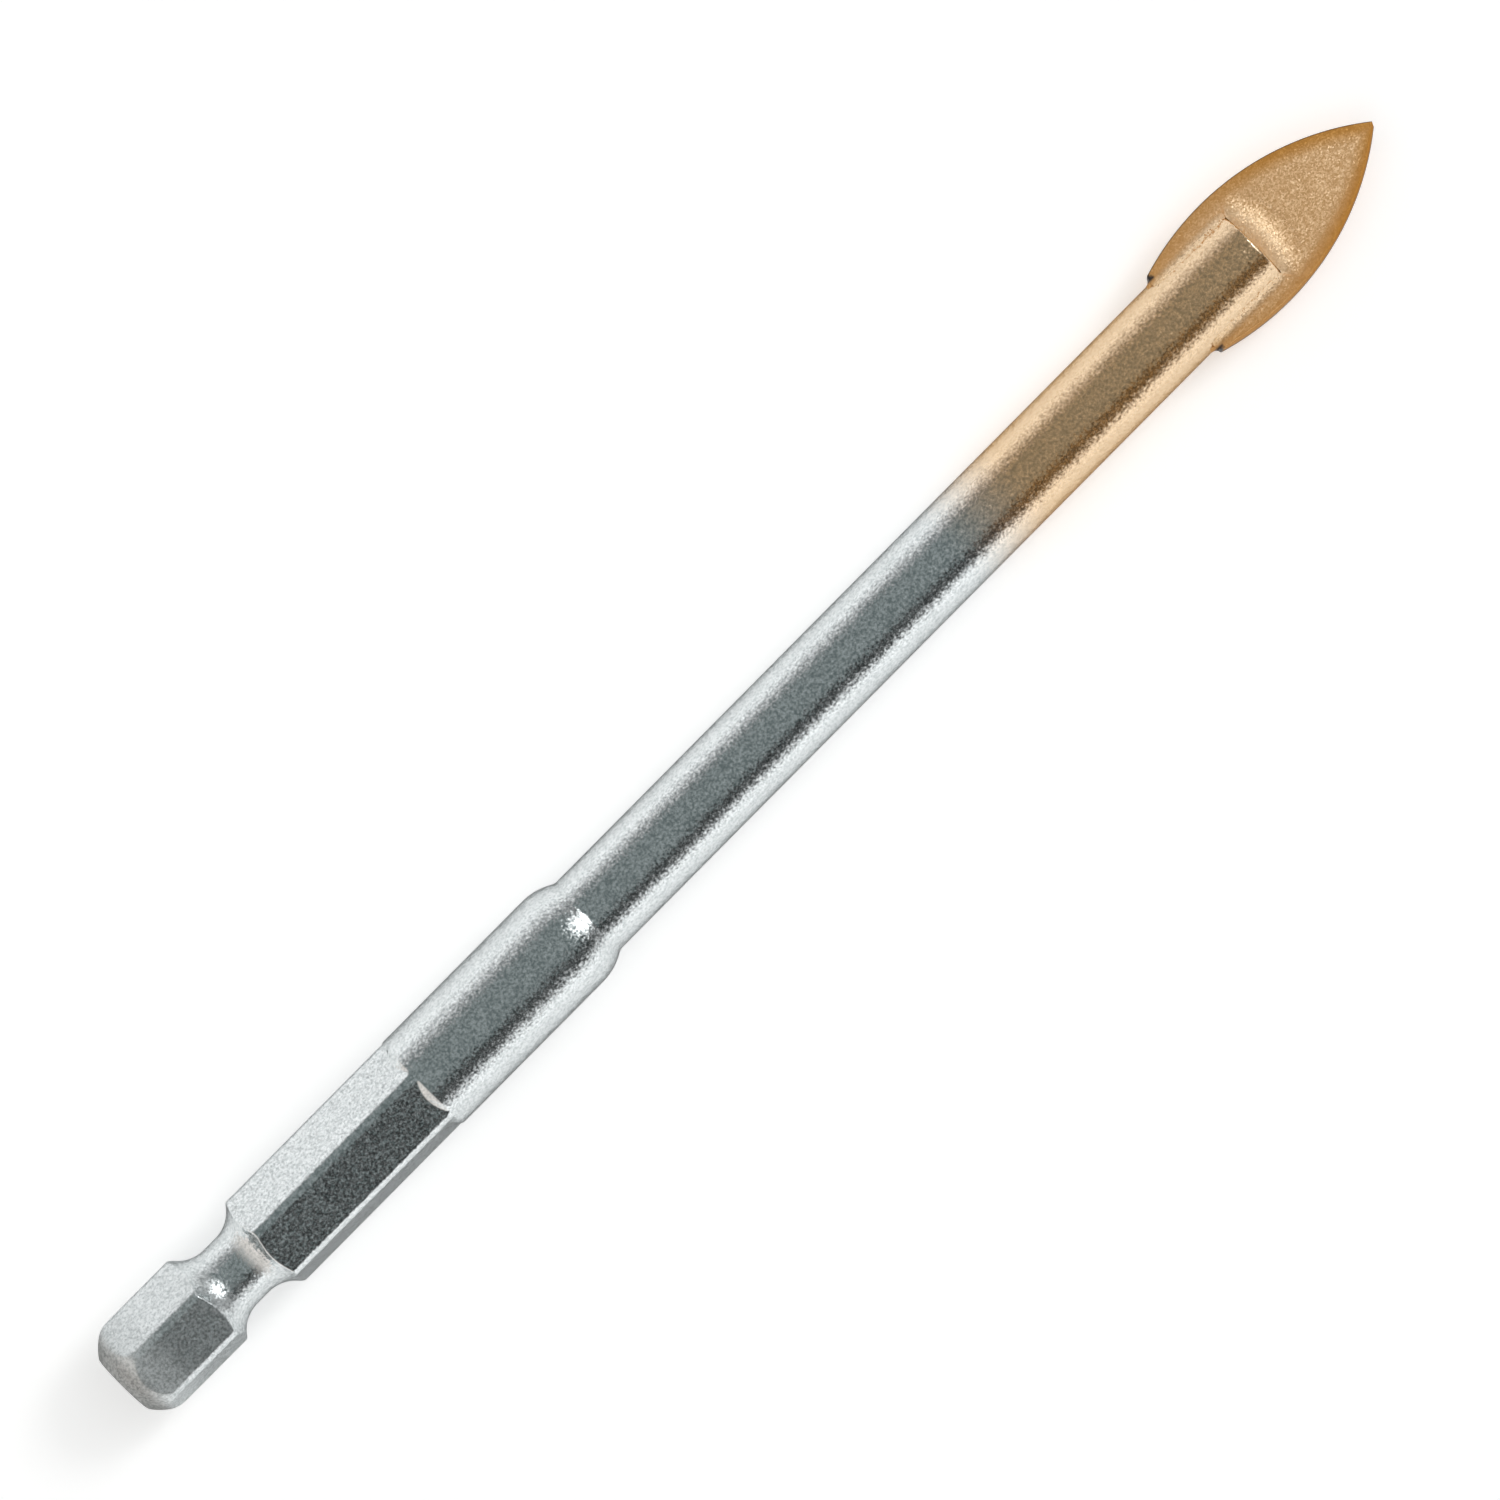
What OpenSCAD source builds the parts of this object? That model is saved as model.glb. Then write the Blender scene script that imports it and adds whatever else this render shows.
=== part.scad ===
// Glass and tile drill bit. One steel bar carries a quick-change hex shank, a collar and a long round shaft.
// The shaft's front end is slotted for a spear-shaped carbide plate, which is brazed in.
// The axis runs along +X from the centre of the shank's end face, and the plate lies flat in the XY plane.

/* [Hex shank] */
// Width of the hex across its flats
hex_af = 6.35; // [6.2:0.05:6.4]
// Length from the shank's end to the collar
hex_len = 26.05; // [20:0.05:40]
// Turn of the hex about the axis, measured from the plate's face
hex_turn = 18.3; // [0:0.1:59.9]
// Length of the crowned slope at the end of each flat, where it runs out into the collar
hex_runout = 0.45; // [0.2:0.05:0.8]
// Diameter of the flat end face
end_d = 4.25; // [2:0.05:5]
// Radius of the turned crown round the end face, about a place on the axis
crown_r = 3.8; // [3.7:0.05:6]

/* [Ball groove] */
// Distance from the shank's end to the flat bottom of the groove
groove_x = 9.3; // [6:0.05:12]
// Length of the flat bottom
groove_flat = 1; // [0.5:0.05:4]
// Diameter at the flat bottom
groove_d = 4.65; // [4:0.05:5.8]
// Radius of the hollow sides
groove_r = 2.3; // [1.6:0.1:3]

/* [Collar and shaft] */
// Diameter of the collar, and of the bar across the rounded corners of the hex
collar_d = 7; // [6.8:0.05:7.2]
// Length of the collar
collar_len = 12.15; // [5:0.05:20]
// Length of the rounded shoulder in front of the collar
shoulder_len = 2.15; // [1:0.05:4]
// Diameter of the shaft
shaft_d = 5.7; // [4.8:0.1:6]
// Length of the shaft from the shoulder to its slotted end
shaft_len = 57.9; // [30:0.1:90]
// Radius of the rounded edge of the slotted end
shaft_edge = 0.2; // [0.05:0.05:0.4]

/* [Carbide tip] */
// Width of the plate at its widest place
tip_w = 8.1; // [7.7:0.1:12]
// Thickness of the plate
tip_t = 2.2; // [1.2:0.1:2.6]
// Depth to which the plate's heel is seated in the slot
seat_depth = 6; // [4:0.1:10]
// Distance from the heel to the widest place
tip_heel = 5.3; // [3:0.1:6]
// Distance from the widest place to where the curves of the two edges meet
tip_point = 11.4; // [10:0.1:16]
// Relief angle of the edge behind each cutting edge
relief_angle = 6.5; // [1:0.5:9]
// Angle between the plate's face and the bevel ground along its relieved edge
bevel_angle = 25; // [15:1:45]
// Radius of the bevel's border on the face
bevel_r = 40; // [30:1:80]
// Distance from the widest place back to where the bevel runs out
bevel_start = 2.1; // [0.5:0.1:2.5]
// Angle between the axis and the bevel's border where it runs out
bevel_lead = 5.5; // [3:0.1:8]

/* [Braze] */
// Thickness of the filler between the plate and the slot
film_t = 0.1; // [0.05:0.01:0.2]
// Radius of the fillets along the sides of the two prongs
fillet_r = 0.5; // [0.2:0.05:0.6]
// Reach of the hollow toe in front of each prong's end
toe_len = 2.1; // [1:0.1:2.6]
// Width of the toe against the prong's end
toe_w = 7; // [6:0.1:7.2]
// Height of the toe against the prong's end, above its rim
toe_h = 1.1; // [0.5:0.05:1.2]
// Radius of the fillets behind the plate's wings
heel_r = 0.55; // [0.2:0.05:0.8]
// Thickness of the braze at the rims of its fillets and toes
rim_t = 0.04; // [0.02:0.01:0.1]

/* [Hidden] */
$fn = 96;

// Length by which a cut runs past the surface it opens
past = 1;
// Turn of the seam of each turned form about the axis
seam_turn = 4.3;

collar_r = collar_d / 2;
shaft_r = shaft_d / 2;
end_r = end_d / 2;
collar_front = hex_len + collar_len;
shaft_start = collar_front + shoulder_len;
shaft_end = shaft_start + shaft_len;

// Crown of the rear end, and crown of the slope where the flats run out: both are balls on the axis
crown_x = sqrt(crown_r ^ 2 - end_r ^ 2);
flat_r = hex_af / 2;
runout_back = (collar_r ^ 2 - flat_r ^ 2 - hex_runout ^ 2) / (2 * hex_runout);
runout_r = sqrt(runout_back ^ 2 + collar_r ^ 2);

// Arc that leaves the collar level and comes down to the shaft over the shoulder's length
shoulder_drop = collar_r - shaft_r;
shoulder_r = (shoulder_len ^ 2 + shoulder_drop ^ 2) / (2 * shoulder_drop);

// Plate: both edges are arcs about centres that lie abreast of the widest place
half_t = tip_t / 2;
heel_x = shaft_end - seat_depth;
widest_x = heel_x + tip_heel;
edge_r = (tip_point ^ 2 + (tip_w / 2) ^ 2) / tip_w;
edge_centre_y = tip_w / 2 - edge_r;
relieved_r = edge_r - tip_t * tan(relief_angle);

// Centre of the bevel's border, which starts on the relieved edge of the face
bevel_start_y = edge_centre_y + sqrt(relieved_r ^ 2 - bevel_start ^ 2);
bevel_centre_x = widest_x - bevel_start - bevel_r * sin(bevel_lead);
bevel_centre_y = bevel_start_y - bevel_r * cos(bevel_lead);

// Slot: the plate's thickness with filler on both faces and behind the heel
slot_w = tip_t + 2 * film_t;
slot_x = heel_x - film_t;

// Side fillet: a circle that touches the shaft's round side and the plate's face
fillet_z = half_t + fillet_r;
fillet_y = sqrt((shaft_r + fillet_r) ^ 2 - fillet_z ^ 2);

// Toe: its rim is an arc about a place behind the prong's end, and its section is a hollow arc
// that leaves the plate's face level and climbs the prong's end
toe_back = ((toe_w / 2) ^ 2 - toe_len ^ 2) / (2 * toe_len);
toe_rim_r = toe_back + toe_len;
toe_hollow_r = (toe_len ^ 2 + toe_h ^ 2) / (2 * toe_h);

// Turns a form built about +Z so that its axis runs along +X, with its seam off the lowest line
module along_x() {
    rotate([0, 90, 0]) rotate([0, 0, seam_turn]) children();
}

// Draws its children above the plate, and again half a turn about the axis
module both_faces() {
    children();
    rotate([180, 0, 0]) children();
}

// Draws its children on the +Y side, and again on the -Y side
module both_sides() {
    children();
    mirror([0, 1, 0]) children();
}

// Outline of the bar's rear end, from the end face to the front of the collar: radius, then length
module rear_outline() {
    translate([0, crown_x]) square([collar_r, collar_front - crown_x]);
    intersection() {
        square([collar_r, crown_x]);
        translate([0, crown_x]) circle(r = crown_r);
    }
}

// Outline of the shoulder: one arc, level where it leaves the collar
module shoulder_outline() {
    intersection() {
        translate([collar_r - shoulder_r, collar_front]) circle(r = shoulder_r);
        translate([0, collar_front]) square([collar_r, shoulder_len]);
    }
}

// Outline of the round shaft, from inside the collar to its rounded end
module shaft_outline() {
    polygon([
        [0, collar_front],
        [shaft_r, collar_front],
        [shaft_r, shaft_end - shaft_edge],
        [shaft_r - shaft_edge, shaft_end],
        [0, shaft_end]
    ]);
    translate([shaft_r - shaft_edge, shaft_end - shaft_edge]) circle(r = shaft_edge);
}

// The shaft as turned, before its slot is cut
module shaft_form() {
    along_x() rotate_extrude() shaft_outline();
}

// What is milled off the bar to leave the six flats, with a crowned run-out at the collar
module hex_cut() {
    difference() {
        translate([-past, 0, 0]) along_x() cylinder(h = hex_len + 2 * past, r = collar_r + past);
        translate([hex_len + runout_back, 0, 0]) sphere(r = runout_r);
        translate([-2 * past, 0, 0])
            rotate([hex_turn + 30, 0, 0])
            rotate([0, 90, 0])
            cylinder(h = collar_front + 2 * past, r = flat_r / cos(30), $fn = 6);
    }
}

// The groove that a quick-change chuck's ball drops into: a flat bottom between two hollow sides
module groove_cut() {
    along_x() rotate_extrude() {
        translate([groove_d / 2, groove_x]) square([collar_r, groove_flat]);
        for (x = [groove_x, groove_x + groove_flat])
            translate([groove_d / 2 + groove_r, x]) circle(r = groove_r);
    }
}

// The slot across the shaft's end, open at the front and on both sides
module slot_box() {
    translate([slot_x, -collar_r, -slot_w / 2])
        cube([seat_depth + film_t + past, collar_d, slot_w]);
}

// Steel bar: hex shank, ball groove, collar, shoulder and slotted shaft in one piece
module steel_shank() {
    color("silver") difference() {
        along_x() rotate_extrude() {
            rear_outline();
            shoulder_outline();
            shaft_outline();
        }
        hex_cut();
        groove_cut();
        slot_box();
    }
}

// One edge of the plate: full size at the upper face, where it cuts, and relieved below
module edge_form() {
    translate([widest_x, edge_centre_y, -half_t])
        cylinder(h = tip_t, r1 = relieved_r, r2 = edge_r);
}

// The plate's lens-shaped form before its heel is cut off
module plate_form() {
    intersection() {
        edge_form();
        rotate([180, 0, 0]) edge_form();
    }
}

// What is left inside the bevel that is ground along the same edge, on its relieved face
module bevel_form() {
    translate([bevel_centre_x, bevel_centre_y, -half_t])
        cylinder(h = tip_t, r1 = bevel_r, r2 = bevel_r + tip_t / tan(bevel_angle));
}

// Spear-shaped carbide plate with a straight heel and a relief bevel on each face
module carbide_tip() {
    color("peru") intersection() {
        plate_form();
        bevel_form();
        rotate([180, 0, 0]) bevel_form();
        translate([heel_x, -tip_w, -tip_t]) cube([tip_heel + tip_point, 2 * tip_w, 2 * tip_t]);
    }
}

// The shaft with its slot, as the filler finds it
module slotted_shaft() {
    difference() {
        shaft_form();
        slot_box();
    }
}

// Filler that floods the slot: a film on both faces of the plate and behind its heel
module braze_film() {
    intersection() {
        shaft_form();
        slot_box();
    }
}

// Fillet between a prong's round side and the plate's face, along the whole slot
module side_fillet() {
    foot_z = half_t - film_t;
    translate([slot_x, 0, 0]) rotate([90, 0, 90]) linear_extrude(seat_depth + film_t) difference() {
        polygon([
            [fillet_y * foot_z / fillet_z, foot_z],
            [fillet_y, foot_z],
            [fillet_y, fillet_z]
        ]);
        translate([fillet_y, fillet_z]) circle(r = fillet_r - rim_t);
    }
}

// Hollow toe in front of a prong's end, turned about an upright axis. It covers the rounded edge
// and, on the bevelled side, reaches down over the border of the bevel
module toe() {
    intersection() {
        translate([shaft_end - toe_back, 0, half_t - film_t]) rotate_extrude() difference() {
            square([toe_rim_r, film_t + toe_h + rim_t]);
            translate([toe_rim_r, film_t + toe_hollow_r + rim_t]) circle(r = toe_hollow_r);
        }
        translate([shaft_end - shaft_edge, -tip_w, 0]) cube([toe_len + past, 2 * tip_w, shaft_d]);
    }
}

// Fillets between the shaft and the heels of both wings, no wider than the plate's own outline
module heel_fillets() {
    foot_r = shaft_r - film_t;
    intersection() {
        plate_form();
        along_x() rotate_extrude() translate([foot_r, heel_x - heel_r]) difference() {
            square([film_t + heel_r, heel_r]);
            translate([film_t + heel_r, 0]) circle(r = heel_r - rim_t);
        }
    }
}

// Braze: the film in the slot with its fillets and toes, up against the steel and the plate
module braze_joint() {
    color("darkgoldenrod") difference() {
        union() {
            braze_film();
            heel_fillets();
            both_faces() {
                both_sides() side_fillet();
                toe();
            }
        }
        slotted_shaft();
        carbide_tip();
    }
}

steel_shank();
carbide_tip();
braze_joint();
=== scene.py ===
"""Looks of a glass and tile drill bit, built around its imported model.

The bit lies on a pale floor and is seen from straight above. Its three pieces are modelled again with
fine, softened edges and dressed with procedural finishes: blasted and plated steel, a bronze coat that
fades in along the shaft, and a coarser, sparkling bronze coat on the carbide plate.
"""

import logging
import math
from dataclasses import dataclass, field
from enum import Enum
from typing import Any, Sequence

import bpy
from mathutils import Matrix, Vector


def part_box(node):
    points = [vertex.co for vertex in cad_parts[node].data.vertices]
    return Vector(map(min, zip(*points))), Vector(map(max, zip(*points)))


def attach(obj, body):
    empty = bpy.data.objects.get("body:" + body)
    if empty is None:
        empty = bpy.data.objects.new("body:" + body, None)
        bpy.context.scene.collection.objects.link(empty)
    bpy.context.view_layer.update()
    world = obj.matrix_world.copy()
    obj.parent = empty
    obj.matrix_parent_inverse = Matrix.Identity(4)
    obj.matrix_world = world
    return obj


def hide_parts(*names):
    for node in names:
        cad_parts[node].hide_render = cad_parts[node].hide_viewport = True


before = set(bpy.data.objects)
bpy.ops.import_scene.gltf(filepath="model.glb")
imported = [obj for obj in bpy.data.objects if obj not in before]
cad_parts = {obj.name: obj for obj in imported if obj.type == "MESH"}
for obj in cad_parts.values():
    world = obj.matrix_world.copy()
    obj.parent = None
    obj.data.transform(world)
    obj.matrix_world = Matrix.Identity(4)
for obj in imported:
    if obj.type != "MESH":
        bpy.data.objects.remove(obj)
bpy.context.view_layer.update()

LOG = logging.getLogger("drill_bit")
MM = 0.001
BODY = "root"
IMAGE_PX = 1500

Point = tuple[float, float]
Colour = tuple[float, float, float, float]


class Cut(Enum):
    """What a Boolean modifier does with its cutter."""

    AWAY = "DIFFERENCE"
    TO = "INTERSECT"


class Face(Enum):
    """The two faces of the carbide plate, as the side of the XY plane that each is on."""

    UPPER = 1
    LOWER = -1


def linear(hex_colour: str) -> Colour:
    """Turns an sRGB hex colour into linear light.

    Args:
        hex_colour: Six hex digits, with or without a leading hash sign.

    Returns:
        Linear red, green and blue, and an alpha of 1.
    """
    digits = hex_colour.lstrip("#")
    parts = [int(digits[i:i + 2], 16) / 255 for i in (0, 2, 4)]
    light = [c / 12.92 if c <= 0.04045 else ((c + 0.055) / 1.055) ** 2.4 for c in parts]
    return (light[0], light[1], light[2], 1.0)


def add_node(tree: bpy.types.NodeTree, kind: str, settings: dict[str, Any] | None = None,
             **inputs: Any) -> Any:
    """Adds one node to a tree, with its settings and its inputs.

    Args:
        tree: The tree that takes the node.
        kind: The node's type name.
        settings: Attributes to set on the node itself.
        **inputs: Values or sockets by input name, with underscores for spaces, or by index as i0, i1 and on.

    Returns:
        The new node.
    """
    node = tree.nodes.new(kind)
    for name, value in (settings or {}).items():
        setattr(node, name, value)
    for name, value in inputs.items():
        by_index = name[0] == "i" and name[1:].isdigit()
        socket = node.inputs[int(name[1:])] if by_index else node.inputs[name.replace("_", " ")]
        if isinstance(value, bpy.types.NodeSocket):
            tree.links.new(value, socket)
        else:
            socket.default_value = value
    return node


def maths(tree: bpy.types.NodeTree, how: str, *values: Any) -> Any:
    """Adds a Math node that works on values or sockets, and gives its result."""
    inputs = {f"i{index}": value for index, value in enumerate(values)}
    return add_node(tree, "ShaderNodeMath", {"operation": how}, **inputs).outputs[0]


def follow(tree: bpy.types.NodeTree, value: Any, places: Point = (0.0, 1.0), results: Point = (0.0, 1.0),
           soft: bool = False) -> Any:
    """Adds a result that goes from one level to another while a value goes between two places.

    Args:
        tree: The tree that takes the node.
        value: Socket with the value.
        places: Values at which the change begins and ends.
        results: Levels before and after it.
        soft: Whether the change eases in and out.

    Returns:
        The result's socket.
    """
    easing = {"interpolation_type": "SMOOTHSTEP" if soft else "LINEAR"}
    return add_node(tree, "ShaderNodeMapRange", easing, i0=value, i1=places[0], i2=places[1],
                    i3=results[0], i4=results[1]).outputs[0]


def mix_values(tree: bpy.types.NodeTree, share: Any, first: Any, second: Any) -> Any:
    """Adds a mix of two values with a share of the second, and gives its result."""
    return add_node(tree, "ShaderNodeMix", i0=share, i2=first, i3=second).outputs[0]


def mix_colours(tree: bpy.types.NodeTree, share: Any, first: Any, second: Any, how: str = "MIX") -> Any:
    """Adds a mix of two colours with a share of the second, and gives its result."""
    settings = {"data_type": "RGBA", "blend_type": how}
    return add_node(tree, "ShaderNodeMix", settings, i0=share, i6=first, i7=second).outputs[2]


def mix_shaders(tree: bpy.types.NodeTree, share: Any, first: Any, second: Any) -> Any:
    """Adds a mix of two shaders with a share of the second, and gives its result."""
    return add_node(tree, "ShaderNodeMixShader", i0=share, i1=first, i2=second).outputs[0]


def metres(pair: Point) -> Point:
    """Turns a pair of places from millimetres into metres."""
    return (pair[0] * MM, pair[1] * MM)


def set_stops(ramp: Any, stops: Sequence[tuple[float, Colour]]) -> None:
    """Gives a colour ramp its stops.

    Args:
        ramp: The ColorRamp node.
        stops: Place from 0 to 1 and colour of each stop, in order.
    """
    elements = ramp.color_ramp.elements
    while len(elements) < len(stops):
        elements.new(1.0)
    for element, (place, colour) in zip(elements, stops):
        element.position = place
        element.color = colour


def only(piece: bpy.types.Object) -> None:
    """Selects one object alone and makes it active."""
    bpy.ops.object.select_all(action="DESELECT")
    piece.select_set(True)
    bpy.context.view_layer.objects.active = piece


def settle(piece: bpy.types.Object, name: str) -> bpy.types.Object:
    """Names a finished object and moves its place into its mesh, so that it sits at the origin."""
    only(piece)
    bpy.ops.object.transform_apply(location=True, rotation=True, scale=True)
    piece.name = name
    piece.data.name = name
    return piece


def close_up(piece: bpy.types.Object, apart: float = 1e-4) -> None:
    """Merges vertices that are closer than apart, in millimetres, and turns every face outwards."""
    only(piece)
    bpy.ops.object.mode_set(mode="EDIT")
    bpy.ops.mesh.select_all(action="SELECT")
    bpy.ops.mesh.remove_doubles(threshold=apart * MM)
    bpy.ops.mesh.normals_make_consistent(inside=False)
    bpy.ops.object.mode_set(mode="OBJECT")


def cut(piece: bpy.types.Object, cutter: bpy.types.Object, how: Cut) -> None:
    """Cuts a piece with another object, which is then deleted.

    Args:
        piece: The object that is cut.
        cutter: The object that cuts it.
        how: Whether the cutter's space is taken away or kept.
    """
    only(piece)
    modifier = piece.modifiers.new("cut", "BOOLEAN")
    modifier.operation = how.value
    modifier.solver = "EXACT"
    modifier.object = cutter
    bpy.ops.object.modifier_apply(modifier=modifier.name)
    bpy.data.objects.remove(cutter, do_unlink=True)


def soften(piece: bpy.types.Object, width: float, segments: int, angle: float) -> None:
    """Rounds the edges of a piece that are sharper than an angle.

    Args:
        piece: The object to soften.
        width: Width of the rounding, in metres.
        segments: Number of faces across it.
        angle: Least angle between two faces, in degrees.
    """
    only(piece)
    modifier = piece.modifiers.new("soften", "BEVEL")
    modifier.width = width
    modifier.segments = segments
    modifier.limit_method = "ANGLE"
    modifier.angle_limit = math.radians(angle)
    # The cuts leave some short edges, which would hold back the rounding of the whole piece.
    modifier.use_clamp_overlap = False
    bpy.ops.object.modifier_apply(modifier=modifier.name)


def smooth(piece: bpy.types.Object, angle: float) -> None:
    """Shades a piece smooth, apart from edges sharper than an angle in degrees."""
    only(piece)
    bpy.ops.object.shade_smooth_by_angle(angle=math.radians(angle))


def draw_line(points: Sequence[Vector]) -> bpy.types.Object:
    """Draws an open line of edges by extruding one vertex from point to point.

    Args:
        points: The line's points, in metres.

    Returns:
        The new object, in object mode.
    """
    bpy.ops.object.select_all(action="DESELECT")
    bpy.ops.mesh.primitive_plane_add(size=MM, location=(0, 0, 0))
    line = bpy.context.active_object
    bpy.ops.object.mode_set(mode="EDIT")
    bpy.ops.mesh.select_all(action="SELECT")
    bpy.ops.mesh.merge(type="CENTER")
    bpy.ops.mesh.select_all(action="SELECT")
    bpy.ops.transform.translate(value=points[0])
    for before, after in zip(points, points[1:]):
        bpy.ops.mesh.extrude_region_move(TRANSFORM_OT_translate={"value": after - before})
    bpy.ops.object.mode_set(mode="OBJECT")
    return line


def spin(line: bpy.types.Object, steps: int, angle: float, centre: Vector, axis: Vector) -> None:
    """Turns a drawn line about an axis into a surface.

    Args:
        line: The object that holds the line.
        steps: Number of faces around.
        angle: Angle of the turn, in radians, clockwise for an eye at the axis' far end that looks back.
        centre: A point on the axis.
        axis: The axis' direction.
    """
    only(line)
    bpy.ops.object.mode_set(mode="EDIT")
    bpy.ops.mesh.select_all(action="SELECT")
    bpy.ops.mesh.spin(steps=steps, angle=angle, center=centre, axis=axis)
    bpy.ops.object.mode_set(mode="OBJECT")


def spread(start: float, stop: float, step: float) -> list[float]:
    """Even places from start to stop, both counted in, no further apart than step."""
    count = max(1, math.ceil((stop - start) / step))
    return [start + (stop - start) * i / count for i in range(count + 1)]


def new_finish(name: str) -> tuple[bpy.types.Material, bpy.types.NodeTree, Any]:
    """Starts an empty node material.

    Args:
        name: The material's name.

    Returns:
        The material, its tree and a socket with Object coordinates in metres.
    """
    material = bpy.data.materials.new(name)
    material.use_nodes = True
    tree = material.node_tree
    tree.nodes.clear()
    return material, tree, add_node(tree, "ShaderNodeTexCoord").outputs["Object"]


def lean(tree: bpy.types.NodeTree, colour: Any, scatter: float) -> Any:
    """Adds a normal that leans a little to one side, by a noise's colour.

    Args:
        tree: The tree that takes the nodes.
        colour: Socket with the noise's colour.
        scatter: How far the normal leans at most, as a share of its length.

    Returns:
        The normal's socket.
    """
    side = add_node(tree, "ShaderNodeVectorMath", {"operation": "SUBTRACT"},
                    i0=colour, i1=(0.5, 0.5, 0.5)).outputs[0]
    facing = add_node(tree, "ShaderNodeNewGeometry").outputs["Normal"]
    bent = add_node(tree, "ShaderNodeVectorMath", {"operation": "MULTIPLY_ADD"},
                    i0=side, i1=(scatter, scatter, scatter), i2=facing).outputs[0]
    return add_node(tree, "ShaderNodeVectorMath", {"operation": "NORMALIZE"}, i0=bent).outputs[0]


def seen_ray(tree: bpy.types.NodeTree) -> Any:
    """Adds a socket that is 1 for a ray that the camera sees straight, mirrored or through a clear thing."""
    path = add_node(tree, "ShaderNodeLightPath").outputs
    straight = maths(tree, "MAXIMUM", path["Is Camera Ray"], path["Is Glossy Ray"])
    return maths(tree, "MAXIMUM", straight, path["Is Transmission Ray"])


def blend_min(a: float, b: float, reach: float) -> float:
    """The smaller of two values, rounded off where they are closer than reach."""
    near = max(reach - abs(a - b), 0.0) / reach
    return min(a, b) - near * near * reach / 4


def blend_max(a: float, b: float, reach: float) -> float:
    """The larger of two values, rounded off where they are closer than reach."""
    return -blend_min(-a, -b, reach)


@dataclass(frozen=True)
class Bronze:
    """The bronze coat's two parts: metal flake that mirrors, and orange lacquer that scatters."""

    flake: str = "FAE6C8"
    flake_shade: str = "DCC3A2"
    deep_flake: str = "C59E60"
    lacquer: str = "FFB968"
    deep_lacquer: str = "D78C38"
    rim: Colour = (0.24, 0.2, 0.17, 1.0)

    def shader(self, tree: bpy.types.NodeTree, speck: Any, deep: Any, share: Any, rough: Any,
               normal: Any) -> Any:
        """Adds the coat to a tree.

        Args:
            tree: The tree that takes the nodes.
            speck: Socket that tells light flakes from dark ones, from 0 to 1.
            deep: Value or socket that is 1 where the coat is thick and its colour is deeper.
            share: Value or socket with the share of the lacquer.
            rough: Value or socket with the roughness of the flake.
            normal: Socket with the bent normal.

        Returns:
            The coat's shader socket.
        """
        thin = mix_colours(tree, speck, linear(self.flake_shade), linear(self.flake))
        colour = mix_colours(tree, deep, thin, linear(self.deep_flake))
        flake = add_node(tree, "ShaderNodeBsdfPrincipled", Base_Color=colour, Metallic=1.0,
                         Roughness=rough, Specular_Tint=self.rim, Normal=normal)
        orange = mix_colours(tree, deep, linear(self.lacquer), linear(self.deep_lacquer))
        lacquer = add_node(tree, "ShaderNodeBsdfDiffuse", Color=orange, Normal=normal)
        return mix_shaders(tree, share, flake.outputs[0], lacquer.outputs[0])


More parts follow.
